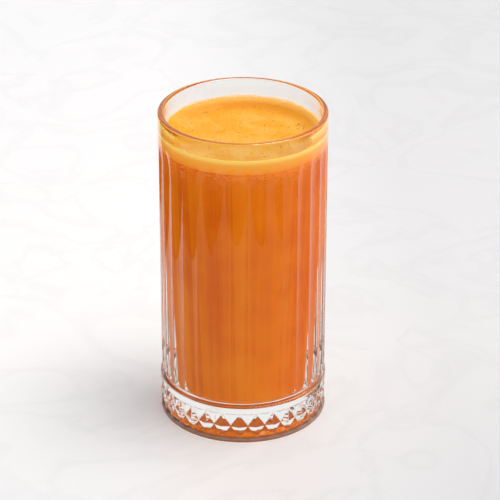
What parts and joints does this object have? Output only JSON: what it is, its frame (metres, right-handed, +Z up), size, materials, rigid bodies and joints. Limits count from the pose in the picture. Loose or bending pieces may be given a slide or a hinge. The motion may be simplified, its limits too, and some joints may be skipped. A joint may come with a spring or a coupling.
{
  "type": "glass of carrot juice",
  "caption": "Tall straight pressed highball glass with narrow upright panels and a diamond-cut foot, filled with carrot juice under a head of froth.",
  "frame": {"origin": "middle of the circle on which the glass stands, at table height", "axes": "+Z up along the glass's axis of symmetry; +X through the middle of one panel"},
  "size_m": [0.0768, 0.0768, 0.15],
  "materials": {
    "glass": "polished clear soda-lime glass",
    "juice": "opaque orange liquid, glossy where it meets the glass",
    "froth": "matt pale orange froth of fine bubbles"
  },
  "bodies": {
    "root": {"glass": "glass", "juice": "juice", "foam": "froth"}
  },
  "joints": []
}
